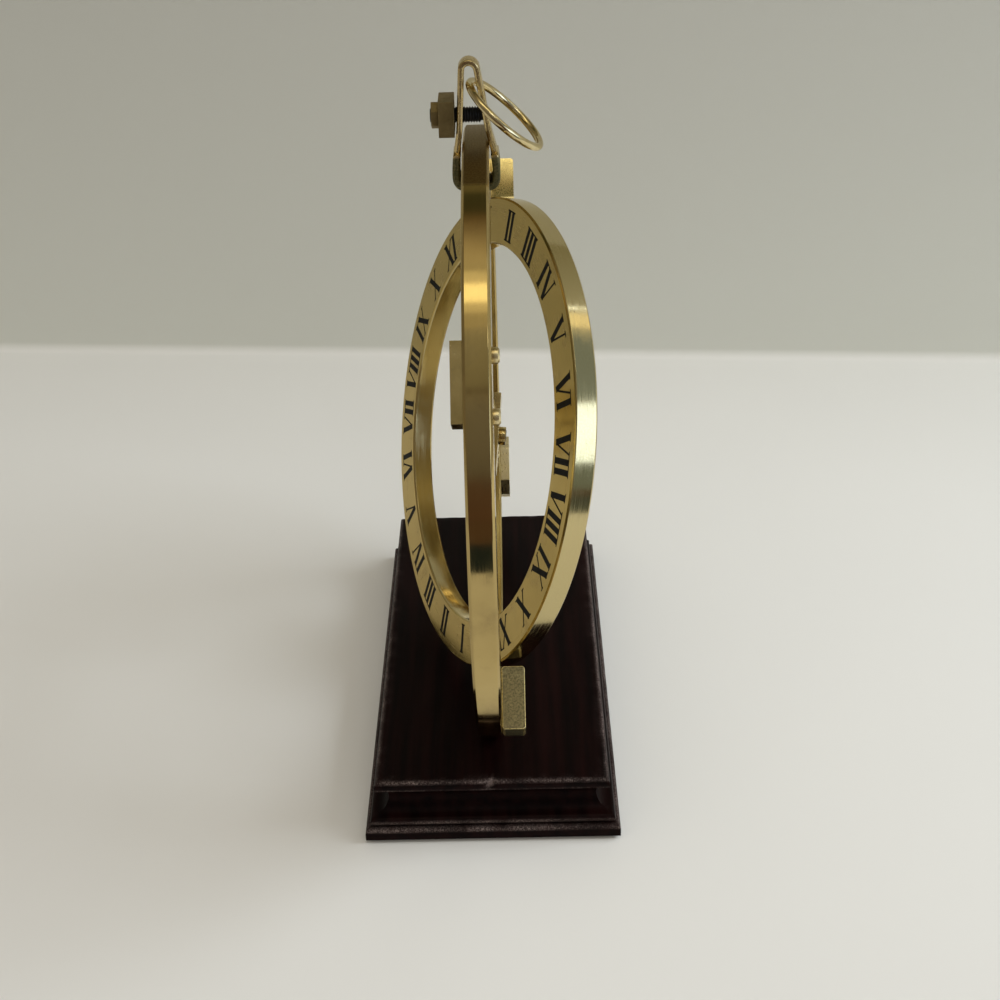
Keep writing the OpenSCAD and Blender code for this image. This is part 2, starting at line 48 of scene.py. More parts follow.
# height of the rings' centre, lean of the pivot line, opening of the hour ring, place of the clasp
dial = {"centre": 65.3, "lean": 37.4, "opening": 23.2, "claspAt": 0.0}


def turned(angle, axis):
    return Matrix.Rotation(math.radians(angle), 4, axis)


def onRing(angle):
    # a place on the ring at an angle from the top, local Z outward, local X across
    return Matrix.Translation((0, 0, dial["centre"])) @ turned(angle, "X")


def addObject(name, data):
    made = bpy.data.objects.new(name, data)
    scene.collection.objects.link(made)
    return made


ringPlace = onRing(0)
hourPlace = onRing(-dial["lean"]) @ turned(dial["opening"], "Z")
claspPlace = onRing(dial["claspAt"])

# camera first, fitted to the rings and the base
cameraView = {"lens": 53.02, "sensor": 36.0, "target": (2.62, 0, 48.98), "distance": 315.6,
              "pitch": 31.709, "yaw": -0.738, "roll": 1.638, "clip": (0.01, 20)}


def makeCamera(spec):
    pitch, yaw, roll = (math.radians(spec[k]) for k in ("pitch", "yaw", "roll"))
    look = Vector((math.sin(yaw) * math.cos(pitch), math.cos(yaw) * math.cos(pitch), -math.sin(pitch)))
    right = Vector((math.cos(yaw), -math.sin(yaw), 0))
    up = right.cross(look)
    axisX = right * math.cos(roll) - up * math.sin(roll)
    axisY = right * math.sin(roll) + up * math.cos(roll)
    data = bpy.data.cameras.new("camera")
    data.lens = spec["lens"]
    data.sensor_width = spec["sensor"]
    data.clip_start, data.clip_end = spec["clip"]
    cam = addObject("camera", data)
    spot = (Vector(spec["target"]) - look * spec["distance"]) * mm
    turn = Matrix((axisX, axisY, -look)).transposed().to_4x4()
    cam.matrix_world = Matrix.Translation(spot) @ turn
    scene.camera = cam


makeCamera(cameraView)


# small helpers for node trees
def newMaterial(name):
    mat = bpy.data.materials.new(name)
    mat.use_nodes = True
    tree = mat.node_tree
    tree.nodes.clear()
    out = tree.nodes.new("ShaderNodeOutputMaterial")
    bsdf = tree.nodes.new("ShaderNodeBsdfPrincipled")
    tree.links.new(bsdf.outputs[0], out.inputs[0])
    return mat, tree, bsdf


def add(tree, kind, inputs=None, **props):
    node = tree.nodes.new(kind)
    for key, value in props.items():
        setattr(node, key, value)
    for key, value in (inputs or {}).items():
        if hasattr(value, "is_output"):
            tree.links.new(value, node.inputs[key])
        else:
            node.inputs[key].default_value = value
    return node


def colour(rgb):
    return (rgb[0], rgb[1], rgb[2], 1.0)


def placeOn(tree, along="Object"):
    return add(tree, "ShaderNodeTexCoord").outputs[along]


def attributeOf(tree, name):
    return add(tree, "ShaderNodeAttribute", attribute_name=name).outputs["Fac"]


def ramp(tree, source, stops):
    node = add(tree, "ShaderNodeValToRGB", {0: source})
    bar = node.color_ramp
    bar.elements[0].position, bar.elements[0].color = stops[0][0], colour(stops[0][1])
    bar.elements[1].position, bar.elements[1].color = stops[-1][0], colour(stops[-1][1])
    for place, rgb in stops[1:-1]:
        bar.elements.new(place).color = colour(rgb)
    return node.outputs[0]


def noiseOf(tree, vector, scale, detail=4.0, rough=0.55):
    moved = add(tree, "ShaderNodeMapping", {"Vector": vector, "Scale": scale})
    return add(tree, "ShaderNodeTexNoise", {"Vector": moved.outputs[0], "Scale": 1.0, "Detail": detail,
                                            "Roughness": rough}).outputs[0]


def spread(tree, source, span, to=(0.0, 1.0)):
    return add(tree, "ShaderNodeMapRange", {"Value": source, "From Min": span[0], "From Max": span[1],
                                            "To Min": to[0], "To Max": to[1]}).outputs[0]


def mixed(tree, factor, first, second):
    node = add(tree, "ShaderNodeMix", data_type="RGBA")
    tree.links.new(factor, node.inputs[0])
    for slotIndex, value in ((6, first), (7, second)):
        if hasattr(value, "is_output"):
            tree.links.new(value, node.inputs[slotIndex])
        else:
            node.inputs[slotIndex].default_value = colour(value)
    return node.outputs[2]


def product(tree, first, second):
    return add(tree, "ShaderNodeMath", {0: first, 1: second}, operation="MULTIPLY").outputs[0]


def total(tree, first, second):
    return add(tree, "ShaderNodeMath", {0: first, 1: second}, operation="ADD").outputs[0]


def roughen(tree, bsdf, height, strength, deep):
    bump = add(tree, "ShaderNodeBump", {"Strength": strength, "Distance": deep * mm, "Height": height})
    tree.links.new(bump.outputs[0], bsdf.inputs["Normal"])


# brass in the finishes of the dial: cloud is the scale of its tones, grain of its tool marks,
# and dull the second finish of the pieces that have one, which on the upright ring is painted shade under the
# clasp
brassLooks = {
    "ringBrass": {
        "along": "UV", "cloud": (45, 45, 45), "grain": (25, 6500, 1),
        "rough": (0.06, 0.14), "bump": 0.035,
        # painted shade: the brown the upright ring's rim takes under the clasp
        "dull": (0.135, 0.088, 0.028), "dullRough": 0.35,
        "tones": [(0.3, (0.43, 0.32, 0.13)), (0.5, (0.50, 0.375, 0.155)), (0.72, (0.56, 0.43, 0.19))]},
    "dialBrass": {
        "along": "UV", "cloud": (60, 60, 60), "grain": (60, 4200, 1),
        "rough": (0.16, 0.28), "bump": 0.04,
        "dull": (0.60, 0.50, 0.26), "dullRough": -0.11,
        "tones": [(0.3, (0.39, 0.278, 0.078)), (0.55, (0.445, 0.318, 0.092)), (0.75, (0.49, 0.358, 0.112))]},
    "blockBrass": {
        "along": "Object", "cloud": (90, 90, 90), "grain": (5200, 5200, 160),
        "rough": (0.2, 0.42), "bump": 0.2,
        "dull": (0.115, 0.102, 0.06), "dullRough": 0.1,
        "tones": [(0.3, (0.74, 0.60, 0.27)), (0.5, (0.86, 0.71, 0.33)), (0.7, (0.94, 0.82, 0.43))]},
    "claspBrass": {
        "along": "Object", "cloud": (160, 160, 120), "grain": (900, 900, 400),
        "rough": (0.16, 0.32), "bump": 0.06,
        "dull": (0.088, 0.088, 0.045), "dullRough": 0.35,
        "tones": [(0.3, (0.48, 0.375, 0.185)), (0.5, (0.62, 0.485, 0.235)), (0.72, (0.74, 0.59, 0.30))]},
    "nutBrass": {
        "along": "Object", "cloud": (220, 220, 220), "grain": (1500, 1500, 1500),
        "rough": (0.4, 0.6), "bump": 0.1,
        "tones": [(0.3, (0.145, 0.108, 0.045)), (0.55, (0.23, 0.175, 0.08)), (0.75, (0.33, 0.26, 0.13))]},
    "wireBrass": {
        "along": "UV", "cloud": (110, 110, 110), "grain": (60, 3000, 1),
        "rough": (0.06, 0.17), "bump": 0.03,
        "tones": [(0.3, (0.50, 0.39, 0.18)), (0.5, (0.63, 0.52, 0.28)), (0.7, (0.74, 0.66, 0.43))]},
    "paleBrass": {
        "along": "Object", "cloud": (150, 150, 150), "grain": (2400, 2400, 300),
        "rough": (0.24, 0.4), "bump": 0.03,
        "tones": [(0.3, (0.70, 0.585, 0.32)), (0.55, (0.80, 0.69, 0.42)), (0.75, (0.88, 0.79, 0.54))]},
    "fittingBrass": {
        "along": "Object", "cloud": (150, 150, 150), "grain": (2400, 2400, 2400),
        "rough": (0.12, 0.24), "bump": 0.02,
        "tones": [(0.3, (0.48, 0.37, 0.16)), (0.55, (0.60, 0.47, 0.22)), (0.75, (0.70, 0.57, 0.30))]},
}
# what all of them share: tarnish in patches, and fine specks in the second finish
brassWear = {"tarnish": (0.22, 0.155, 0.075), "tarnishScale": 2.7, "tarnishSpan": (0.52, 0.75),
             "tarnishTo": (0.0, 0.4), "tarnishRough": 0.3, "specks": (2900, 2900, 2900),
             "speckSpan": (0.35, 0.65), "speckTo": (0.82, 1.0), "grainSpan": (0.3, 0.7),
             "grainDeep": 0.06, "tint": (1.0, 0.95, 0.82)}


def brassMaterial(name, look, wear):
    mat, tree, bsdf = newMaterial(name)
    where = placeOn(tree, look["along"])
    cloud = noiseOf(tree, where, look["cloud"])
    grain = noiseOf(tree, where, look["grain"], detail=3.0)
    patches = noiseOf(tree, where, [c * wear["tarnishScale"] for c in look["cloud"]], detail=6.0, rough=0.65)
    tarnish = spread(tree, patches, wear["tarnishSpan"], wear["tarnishTo"])
    tone = mixed(tree, tarnish, ramp(tree, cloud, look["tones"]), wear["tarnish"])
    rough = total(tree, spread(tree, grain, wear["grainSpan"], look["rough"]),
                  product(tree, tarnish, wear["tarnishRough"]))
    if "dull" in look:
        # the piece's own attribute says where its second finish is, which on the upright ring is painted
        # shade under the clasp
        specks = noiseOf(tree, where, wear["specks"], detail=2.0, rough=0.6)
        speckled = spread(tree, specks, wear["speckSpan"], wear["speckTo"])
        patina = product(tree, attributeOf(tree, "dull"), speckled)
        tone = mixed(tree, patina, tone, look["dull"])
        rough = total(tree, rough, product(tree, patina, look["dullRough"]))
    tree.links.new(tone, bsdf.inputs["Base Color"])
    tree.links.new(rough, bsdf.inputs["Roughness"])
    roughen(tree, bsdf, grain, look["bump"], wear["grainDeep"])
    bsdf.inputs["Metallic"].default_value = 1.0
    bsdf.inputs["Specular Tint"].default_value = colour(wear["tint"])
    return mat


finishes = {name: brassMaterial(name, look, brassWear) for name, look in brassLooks.items()}

# dark mahogany, rubbed pale along its edges, where the pale rub also paints the highlights of its gloss, and
# bare in the chip
mahogany = {"dark": (0.0024, 0.0008, 0.0008), "warm": (0.0095, 0.0024, 0.0021), "worn": (0.30, 0.235, 0.215),
            "bare": (0.19, 0.145, 0.135), "grain": (420, 22, 420), "pores": (2600, 160, 2600),
            "specks": (4200, 3000, 4200), "patches": (140, 140, 140), "grainSpan": (0.38, 0.66),
            "patchSpan": (0.36, 0.58), "patchTo": (0.25, 1.0), "wornSheenSpan": (0.46, 0.66), "wornSheenTo": (0.1, 1.0),
            "bareSpan": (0.38, 0.6), "bareTo": (0.4, 1.0), "roughSpan": (0.3, 0.7), "rough": (0.34, 0.5),
            "bump": 0.25, "deep": 0.08, "specular": 0.045}


def woodMaterial(spec):
    mat, tree, bsdf = newMaterial("mahogany")
    where = placeOn(tree)
    grain = noiseOf(tree, where, spec["grain"], detail=6.0, rough=0.6)
    pores = noiseOf(tree, where, spec["pores"], detail=3.0)
    specks = noiseOf(tree, where, spec["specks"], detail=4.0, rough=0.7)
    patches = noiseOf(tree, where, spec["patches"], detail=4.0, rough=0.6)
    body = mixed(tree, spread(tree, grain, spec["grainSpan"]), spec["dark"], spec["warm"])
    # pale bands along the arrises: partly real wear and partly painted highlights of the wood's gloss on its
    # rounded edges
    rubbedSheen = spread(tree, patches, spec["patchSpan"], spec["patchTo"])
    rubbedSheen = product(tree, attributeOf(tree, "wear"), rubbedSheen)
    rubbedSheen = product(tree, rubbedSheen, spread(tree, specks, spec["wornSheenSpan"], spec["wornSheenTo"]))
    bare = product(tree, attributeOf(tree, "bare"), spread(tree, specks, spec["bareSpan"], spec["bareTo"]))
    tone = mixed(tree, bare, mixed(tree, rubbedSheen, body, spec["worn"]), spec["bare"])
    tree.links.new(tone, bsdf.inputs["Base Color"])
    tree.links.new(spread(tree, specks, spec["roughSpan"], spec["rough"]), bsdf.inputs["Roughness"])
    roughen(tree, bsdf, pores, spec["bump"], spec["deep"])
    bsdf.inputs["Specular IOR Level"].default_value = spec["specular"]
    return mat


# finishes of two near tones, with the sockets that set each apart
plainLooks = {
    "felt": {"tones": ((0.012, 0.032, 0.018), (0.03, 0.07, 0.04)), "rough": (0.9, 1.0), "scale": 2600,
             "bump": 0.6, "deep": 0.3, "sockets": {"Sheen Weight": 0.3}},
    "blackSteel": {"tones": ((0.012, 0.012, 0.013), (0.03, 0.029, 0.027)), "rough": (0.3, 0.5), "scale": 900,
                   "bump": 0.1, "deep": 0.05, "sockets": {"Metallic": 0.6}},
    "steel": {"tones": ((0.42, 0.42, 0.40), (0.58, 0.57, 0.55)), "rough": (0.25, 0.4), "scale": 1200,
              "bump": 0.1, "deep": 0.05, "sockets": {"Metallic": 1.0}},
    "ink": {"tones": ((0.003, 0.003, 0.0025), (0.009, 0.008, 0.005)), "rough": (0.45, 0.65), "scale": 3000,
            "bump": 0.1, "deep": 0.05, "sockets": {"Specular IOR Level": 0.05}},
}


def plainMaterial(name, look):
    mat, tree, bsdf = newMaterial(name)
    cloud = noiseOf(tree, placeOn(tree), [look["scale"]] * 3, detail=5.0, rough=0.6)
    toneSpan, roughSpan = (0.35, 0.65), (0.3, 0.7)
    tree.links.new(mixed(tree, spread(tree, cloud, toneSpan), *look["tones"]), bsdf.inputs["Base Color"])
    tree.links.new(spread(tree, cloud, roughSpan, look["rough"]), bsdf.inputs["Roughness"])
    roughen(tree, bsdf, cloud, look["bump"], look["deep"])
    for socket, value in look["sockets"].items():
        bsdf.inputs[socket].default_value = value
    return mat


finishes["mahogany"] = woodMaterial(mahogany)
for name, look in plainLooks.items():
    finishes[name] = plainMaterial(name, look)
print("materials made:", len(finishes))


# mesh helpers
def meshPiece(name, points, faces):
    mesh = bpy.data.meshes.new(name)
    mesh.from_pydata([tuple(p * mm) for p in points], [], faces)
    mesh.update()
    return addObject(name, mesh)


def tidyNormals(piece):
    bm = bmesh.new()
    bm.from_mesh(piece.data)
    bmesh.ops.recalc_face_normals(bm, faces=bm.faces)
    bm.to_mesh(piece.data)
    bm.free()


def keepResult(piece):
    # the modifiers' result becomes the piece's own mesh
    made = bpy.data.meshes.new_from_object(piece.evaluated_get(bpy.context.evaluated_depsgraph_get()))
    piece.modifiers.clear()
    old = piece.data
    piece.data = made
    bpy.data.meshes.remove(old)
    made.name = piece.name


def smooth(piece, crease=32, weight=90):
    mesh = piece.data
    mesh.polygons.foreach_set("use_smooth", [True] * len(mesh.polygons))
    mesh.set_sharp_from_angle(angle=math.radians(crease))
    # large flats keep their own normals, so reflections stay straight on them
    even = piece.modifiers.new("even", "WEIGHTED_NORMAL")
    even.keep_sharp, even.weight = True, weight
    keepResult(piece)


def mark(piece, name, rule):
    # a vertex attribute from the place of each point, in millimetres
    layer = piece.data.attributes.new(name, "FLOAT", "POINT")
    layer.data.foreach_set("value", [rule(v.co / mm) for v in piece.data.vertices])


def markFaces(piece, name, rule):
    layer = piece.data.attributes.new(name, "FLOAT", "FACE")
    layer.data.foreach_set("value", [rule(f) for f in piece.data.polygons])


def dress(piece, body, finish, *nodes):
    piece.data.materials.clear()
    piece.data.materials.append(finishes[finish])
    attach(piece, body)
    if nodes:
        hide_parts(*nodes)


def clip(value):
    return min(1.0, max(0.0, value))


def circle(count):
    turns = [2 * math.pi * i / count for i in range(count)]
    return [(math.cos(t), math.sin(t)) for t in turns]


def skin(rows, count):
    # faces between neighbouring closed rows of points, and a cap on each end
    faces = []
    for k in range(rows - 1):
        low, high = k * count, (k + 1) * count
        faces += [(low + i, low + (i + 1) % count, high + (i + 1) % count, high + i) for i in range(count)]
    return faces + [tuple(reversed(range(count))), tuple(range((rows - 1) * count, rows * count))]


def roundCorners(loop, radius, count=3, most=0.45):
    # a closed outline with each corner turned into a short arc, which takes up a share of a side at most
    made = []
    for i, here in enumerate(loop):
        here = Vector(here)
        before = Vector(loop[i - 1]) - here
        after = Vector(loop[(i + 1) % len(loop)]) - here
        half = before.angle(after) / 2
        reach = min(radius / math.tan(half), most * before.length, most * after.length)
        start = here + before.normalized() * reach
        end = here + after.normalized() * reach
        for k in range(count + 1):
            t = k / count
            made.append(start * (1 - t) ** 2 + here * 2 * t * (1 - t) + end * t * t)
    return made


def lathe(name, loop, place, steps, uvRadius):
    # turn an outline of (radius, x) about local X, with a UV map in metres
    count = len(loop)
    along = [0.0]
    for i in range(count):
        along.append(along[-1] + (Vector(loop[(i + 1) % count]) - Vector(loop[i])).length * mm)
    points, faces, uvs = [], [], []
    for cosine, sine in circle(steps):
        points += [place @ Vector((x, r * sine, r * cosine)) for r, x in loop]
    arc = 2 * math.pi * uvRadius * mm / steps
    for s in range(steps):
        t = (s + 1) % steps
        left, right = s * arc, (s + 1) * arc
        for i in range(count):
            j = (i + 1) % count
            faces.append((s * count + i, t * count + i, t * count + j, s * count + j))
            uvs += [(left, along[i]), (right, along[i]), (right, along[i + 1]), (left, along[i + 1])]
    piece = meshPiece(name, points, faces)
    layer = piece.data.uv_layers.new(name="sweep")
    for loopIndex, uv in enumerate(uvs):
        layer.data[loopIndex].uv = uv
    tidyNormals(piece)
    return piece


def mirrored(side):
    # an outline of both sides from the one at positive x
    return side + [(r, -x) for r, x in reversed(side)]


def cutBy(piece, cutter):
    cut = piece.modifiers.new("cut", "BOOLEAN")
    cut.operation, cut.solver, cut.object = "DIFFERENCE", "EXACT", cutter
    keepResult(piece)
    bpy.data.meshes.remove(cutter.data)


def rod(name, place, low, high, radius, steps=48):
    # a closed cylinder along local Z, for cutting
    points = [place @ Vector((radius * c, radius * s, z)) for z in (low, high) for c, s in circle(steps)]
    piece = meshPiece(name, points, skin(2, steps))
    tidyNormals(piece)
    return piece


# the upright ring, with a groove on each side, the recesses of the pivot screws and brown painted shade under
# the clasp
meridianRing = {"outer": 62.5, "inner": 50.0, "half": 2.5, "chamfer": 0.5, "ease": 0.3, "groove": 54.4,
                "grooveHalf": 1.0, "grooveDeep": 0.7, "edge": 0.2, "steps": 720, "recess": 1.55, "sink": 1.5,
                "cutPast": 2, "claspShadeTo": 16.3, "claspShadeFade": 0.8, "claspShadeDeep": 0.2}


def makeMeridianRing(spec):
    half, outer, inner, ease, chamfer = (spec[k] for k in ("half", "outer", "inner", "ease", "chamfer"))
    grooveIn, grooveOut = spec["groove"] - spec["grooveHalf"], spec["groove"] + spec["grooveHalf"]
    bottom = half - spec["grooveDeep"]
    side = [(inner, half - ease), (inner + ease, half), (grooveIn, half), (grooveIn, bottom),
            (grooveOut, bottom), (grooveOut, half), (outer - chamfer, half), (outer, half - chamfer)]
    ring = lathe("meridianRing", roundCorners(mirrored(side), spec["edge"]), ringPlace, spec["steps"], outer)
    for angle in (-dial["lean"], 180 - dial["lean"]):
        low, high = outer - spec["sink"], outer + spec["cutPast"]
        cutBy(ring, rod("cutter", onRing(angle), low, high, spec["recess"]))
    smooth(ring)

    # painted shade: the rim turns brown under the clasp, fading out past it
    def underClasp(p):
        fromTop = math.degrees(math.atan2(abs(p.y), p.z - dial["centre"]))
        inRim = math.hypot(p.y, p.z - dial["centre"]) > outer - spec["claspShadeDeep"]
        return clip((spec["claspShadeTo"] - fromTop) / spec["claspShadeFade"]) if inRim else 0.0

    mark(ring, "dull", underClasp)
    dress(ring, "stand", "ringBrass", "meridian_ring")


makeMeridianRing(meridianRing)

# the hour ring, open at its angle, with a paler turned rim and bore
hourRing = {"outer": 48.4, "inner": 39.1, "half": 2.25, "bevel": 0.35, "edge": 0.08, "steps": 512}


def makeHourRing(spec):
    half, outer, inner, bevel = (spec[k] for k in ("half", "outer", "inner", "bevel"))
    side = [(inner, half - bevel), (inner + bevel, half), (outer - bevel, half), (outer, half - bevel)]
    ring = lathe("hourRing", roundCorners(mirrored(side), spec["edge"]), hourPlace, spec["steps"], outer)
    smooth(ring)
    back = hourPlace.inverted()
    mark(ring, "dull", lambda p: 1.0 if abs((back @ p).x) < half - bevel / 2 else 0.0)
    dress(ring, "hour_circle", "dialBrass", "hour_ring")


makeHourRing(hourRing)
print("rings made")

# Roman hours on the face: strokes are placed by attributes and drawn by one node tree
numerals = {"radius": 43.45, "height": 6.2, "thick": 1.18, "thin": 0.4, "pitch": 1.92, "serif": 0.3,
            "overhang": 0.3, "wide": 4.3, "stemGap": 0.75, "wideGap": 0.45, "lastGap": 0.6, "slantTrim": 0.1,
            "vStep": 0.1, "depth": 0.04, "proud": 0.012, "turn": -1.9}
hourNames = ["I", "II", "III", "IV", "V", "VI", "VII", "VIII", "IX", "X", "XI", "XII"]


def strokesOf(word, spec):
    # each stroke is (middle across, middle up, lean, width, length)
    height, thick, thin, wide = (spec[k] for k in ("height", "thick", "thin", "wide"))
    edge = height / 2 - spec["serif"] / 2
    made, at = [], 0.0

    def slanted(low, top, width):
        length = math.hypot(top - low, height) - spec["slantTrim"]
        made.append(((low + top) / 2, 0.0, math.atan2(top - low, height), width, length))

    def serif(x, up, stem, overhangs=2):
        made.append((x, up, 0.0, stem + overhangs * spec["overhang"], spec["serif"]))

    for letter, group in itertools.groupby(word):
        if letter == "I":
            stems = len(list(group))
            span = (stems - 1) * spec["pitch"]
            made += [(at + thick / 2 + k * spec["pitch"], 0.0, 0.0, thick, height) for k in range(stems)]
            for up in (edge, -edge):
                serif(at + thick / 2 + span / 2, up, span + thick)
            at += span + thick + spec["stemGap"]
        elif letter == "V":
            slanted(at + wide / 2, at + thick / 2, thick)
            slanted(at + wide / 2 + spec["vStep"], at + wide - thin, thin)
            serif(at + thick / 2, edge, thick)
            serif(at + wide - thin, edge, thin, 3)
            at += wide + spec["wideGap"]
        else:
            slanted(at + wide - thick / 2, at + thick / 2, thick)
            slanted(at + thin, at + wide - thin, thin)
            serif(at + thick / 2, edge, thick)
            serif(at + wide - thin, edge, thin)
            serif(at + thin, -edge, thin)
            serif(at + wide - thick / 2, -edge, thick)
            at += wide + spec["wideGap"]
    middle = (at - spec["lastGap"]) / 2
    return [(x - middle, up, lean, width, length) for x, up, lean, width, length in made]


def strokeTree(material):
    tree = bpy.data.node_groups.new("hourStrokes", "GeometryNodeTree")
    tree.interface.new_socket("Geometry", in_out="INPUT", socket_type="NodeSocketGeometry")
    tree.interface.new_socket("Depth", in_out="INPUT", socket_type="NodeSocketFloat")
    tree.interface.new_socket("Geometry", in_out="OUTPUT", socket_type="NodeSocketGeometry")
    start = tree.nodes.new("NodeGroupInput")
    end = tree.nodes.new("NodeGroupOutput")
    block = add(tree, "GeometryNodeMeshCube", {"Size": (1, 1, 1)})
    turn = add(tree, "GeometryNodeInputNamedAttribute", {"Name": "turn"}, data_type="FLOAT_VECTOR")
    size = add(tree, "GeometryNodeInputNamedAttribute", {"Name": "size"}, data_type="FLOAT_VECTOR")
    parts = add(tree, "ShaderNodeSeparateXYZ", {0: size.outputs[0]}).outputs
    scale = add(tree, "ShaderNodeCombineXYZ", {0: parts[0], 1: parts[1], 2: start.outputs["Depth"]})
    spin = add(tree, "FunctionNodeEulerToRotation", {0: turn.outputs[0]})
    spots = add(tree, "GeometryNodeInstanceOnPoints", {
        "Points": start.outputs["Geometry"], "Instance": block.outputs[0],
        "Rotation": spin.outputs[0], "Scale": scale.outputs[0]})
    real = add(tree, "GeometryNodeRealizeInstances", {0: spots.outputs[0]})
    paint = add(tree, "GeometryNodeSetMaterial", {"Geometry": real.outputs[0], "Material": material})
    tree.links.new(paint.outputs[0], end.inputs[0])
    return tree


def makeNumerals(spec):
    spots, turns, sizes = [], [], []
    faceX = -hourRing["half"] - spec["proud"] + spec["depth"] / 2
    rounds = 2 * len(hourNames)
    for hour in range(rounds):
        word = hourNames[(hour - 1) % len(hourNames)]
        angle = math.radians(360 / rounds * hour + spec["turn"])
        # clockwise on the face seen from its front, tops outward
        up = Vector((0, -math.sin(angle), math.cos(angle)))
        across = Vector((0, -math.cos(angle), -math.sin(angle)))
        front = Vector((-1, 0, 0))
        upright = Matrix((across, up, front)).transposed()
        for x, y, lean, width, length in strokesOf(word, spec):
            spot = Vector((faceX, 0, 0)) + up * (spec["radius"] + y) + across * x
            turn = hourPlace.to_3x3() @ upright @ Matrix.Rotation(-lean, 3, "Z")
            spots.append((hourPlace @ spot) * mm)
            turns.append(turn.to_euler())
            sizes.append((width * mm, length * mm, 0))
    mesh = bpy.data.meshes.new("numerals")
    mesh.from_pydata([tuple(p) for p in spots], [], [])
    for name, values in (("turn", turns), ("size", sizes)):
        layer = mesh.attributes.new(name, "FLOAT_VECTOR", "POINT")
        layer.data.foreach_set("vector", [c for v in values for c in v])
    piece = addObject("numerals", mesh)
    tree = strokeTree(finishes["ink"])
    draw = piece.modifiers.new("strokes", "NODES")
    draw.node_group = tree
    depthId = next(s.identifier for s in tree.interface.items_tree if s.name == "Depth")
    draw[depthId] = spec["depth"] * mm
    keepResult(piece)
    dress(piece, "hour_circle", "ink")


makeNumerals(numerals)
print("numerals made")

# the moulded base: one profile carried round the four sides
baseBlock = {"halfWidth": 23.5, "halfLength": 49.5, "felt": 0.6, "plinth": 2.8, "bead": 1.95, "cove": 6.25,
             "slab": 2.4, "plinthOut": 2.2, "beadOut": 1.25, "coveDeep": 2.6, "coveTurn": 9, "coveSteps": 20,
             "plinthRound": 0.9, "plinthEase": 0.25, "plinthFlat": 1.0, "slabRound": 1.2, "slabEase": 0.2,
             "slabFlat": 0.7, "topRings": (-2.6, -4.0), "step": 0.6, "crease": 38,
             "slotHalf": 2.56, "slotRadius": 62.56, "slotSteps": 256}
# dents and rubbed bands, whose pale rub also paints the edges' highlights: height from the top, the felt or
# the slab's underside, reach, and strength
baseWearAndSheen = {"topDent": (-0.25, 0.8, 1.0), "plinthDent": (2.5, 0.8, 0.8), "slabDent": (0.0, 0.5, 0.7),
            "topRubSheen": (-0.4, 0.4, 1.0), "plinthRubSheen": (2.45, 0.55, 1.0), "beadRubSheen": (3.8, 0.6, 0.9),
            "slabRubSheen": (0.0, 0.4, 0.9), "dentsFrom": -2.0, "topRubSheenFrom": -1.3, "slabRubSheenFrom": -0.5,
            "lowRubSheenFrom": 0.6, "dent": 0.16, "dentScale": 0.35, "dentMore": 0.1, "dentDown": 0.6,
            "sideBand": 4, "cornerDent": 0.12, "cornerReach": 3, "cornerFar": 9}
# the chip in the front edge: its place across, and its band of heights as above
chip = {"at": -0.3, "wide": 0.85, "slant": 0.45, "deep": 0.9, "band": (-1.0, 1.4, 1.0), "from": -1.4,
        "down": -0.25, "bareGain": 2.2, "bareLess": 0.6, "bareWithin": 2}


def arcPoints(x, z, radius, first, last, count):
    turns = [math.radians(first + (last - first) * k / count) for k in range(count + 1)]
    return [(x + radius * math.cos(t), z + radius * math.sin(t)) for t in turns]


def baseProfile(spec):
    # offsets from the top face's edge and heights, from the bottom up
    felt, out = spec["felt"], spec["plinthOut"]
    plinthRound, beadRound, slabRound = spec["plinthRound"], spec["bead"] / 2, spec["slabRound"]
    beadZ = felt + spec["plinth"]
    coveZ = beadZ + spec["bead"]
    slabZ = coveZ + spec["cove"]
    top = slabZ + spec["slab"]
    points = [(out - spec["plinthEase"], felt), (out, felt + spec["plinthEase"])]
    points += [(out, felt + spec["plinthFlat"])]
    points += arcPoints(out - plinthRound, beadZ - plinthRound, plinthRound, 0, 90, 6)
    points += arcPoints(spec["beadOut"] - beadRound, beadZ + beadRound, beadRound, -90, 90, 12)
    points += [(-spec["coveDeep"] * math.sin(t), coveZ + spec["cove"] * (1 - math.cos(t)) / 2)
               for t in (math.radians(spec["coveTurn"] * k) for k in range(spec["coveSteps"]))]
    points += [(-spec["slabEase"], slabZ), (0.0, slabZ + spec["slabEase"]), (0.0, slabZ + spec["slabFlat"])]
    points += arcPoints(-slabRound, top - slabRound, slabRound, 0, 90, 6)
    points += [(off, top) for off in spec["topRings"]]
    return points, slabZ, top


def rectangle(halfX, halfY, step, grow=0.0):
    # points round four sides, whose count stays the same when the outline grows
    countX, countY = int(2 * halfX / step), int(2 * halfY / step)
    halfX, halfY = halfX + grow, halfY + grow
    line = [(-halfX + 2 * halfX * i / countX, -halfY) for i in range(countX)]
    line += [(halfX, -halfY + 2 * halfY * i / countY) for i in range(countY)]
    line += [(halfX - 2 * halfX * i / countX, halfY) for i in range(countX)]
    line += [(-halfX, halfY - 2 * halfY * i / countY) for i in range(countY)]
    return line


